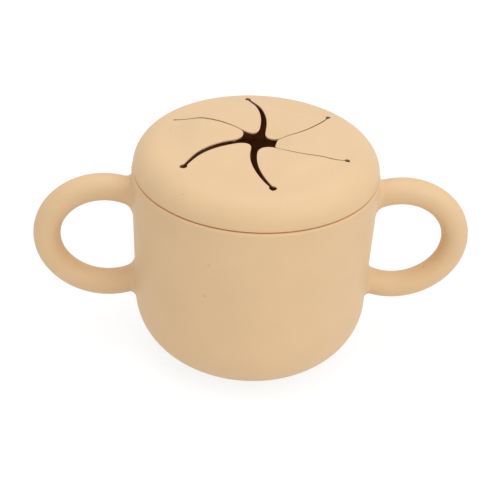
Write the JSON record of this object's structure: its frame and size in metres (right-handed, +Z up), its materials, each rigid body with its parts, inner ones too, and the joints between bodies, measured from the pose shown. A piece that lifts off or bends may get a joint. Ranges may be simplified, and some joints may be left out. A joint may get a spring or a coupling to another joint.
{
  "type": "toddler snack container",
  "caption": "Soft round-bottomed snack cup with two ring handles and a plug-in lid whose flat top is parted by curved slits into flexible petals that a small hand pushes through.",
  "frame": {"origin": "middle of the cup's flat base, on the surface that it stands on", "axes": "+Z up along the cup's axis, +X through both handles, -Y towards the front as pictured"},
  "size_m": [0.1452, 0.08, 0.0771],
  "materials": {
    "cup_silicone": "soft matte silicone",
    "lid_silicone": "soft matte silicone"
  },
  "bodies": {
    "cup": {"cup": "cup_silicone"},
    "lid": {"lid": "lid_silicone"},
    "petal_1": {"petal_1": "lid_silicone"},
    "petal_2": {"petal_2": "lid_silicone"},
    "petal_3": {"petal_3": "lid_silicone"},
    "petal_4": {"petal_4": "lid_silicone"},
    "petal_5": {"petal_5": "lid_silicone"},
    "petal_6": {"petal_6": "lid_silicone"}
  },
  "joints": [
    {"name": "lid_lift", "type": "slide", "parent": "cup", "child": "lid", "axis": [0, 0, 1], "range_m": [0, 0.04]},
    {"name": "petal_1_bend", "type": "hinge", "parent": "lid", "child": "petal_1", "pos_m": [0.01068, 0.02301, 0.07588], "axis": [0.907, -0.421, 0], "range_deg": [-45, 60], "stiffness_Nm_per_rad": 0.002},
    {"name": "petal_2_bend", "type": "hinge", "parent": "lid", "child": "petal_2", "pos_m": [-0.01459, 0.02076, 0.07588], "axis": [0.8181, 0.575, 0], "range_deg": [-45, 60], "stiffness_Nm_per_rad": 0.002},
    {"name": "petal_3_bend", "type": "hinge", "parent": "lid", "child": "petal_3", "pos_m": [-0.02527, -0.00226, 0.07588], "axis": [-0.0889, 0.996, 0], "range_deg": [-45, 60], "stiffness_Nm_per_rad": 0.002},
    {"name": "petal_4_bend", "type": "hinge", "parent": "lid", "child": "petal_4", "pos_m": [-0.01068, -0.02301, 0.07588], "axis": [-0.907, 0.421, 0], "range_deg": [-45, 60], "stiffness_Nm_per_rad": 0.002},
    {"name": "petal_5_bend", "type": "hinge", "parent": "lid", "child": "petal_5", "pos_m": [0.01459, -0.02076, 0.07588], "axis": [-0.8181, -0.575, 0], "range_deg": [-45, 60], "stiffness_Nm_per_rad": 0.002},
    {"name": "petal_6_bend", "type": "hinge", "parent": "lid", "child": "petal_6", "pos_m": [0.02527, 0.00226, 0.07588], "axis": [0.0889, -0.996, 0], "range_deg": [-45, 60], "stiffness_Nm_per_rad": 0.002}
  ]
}
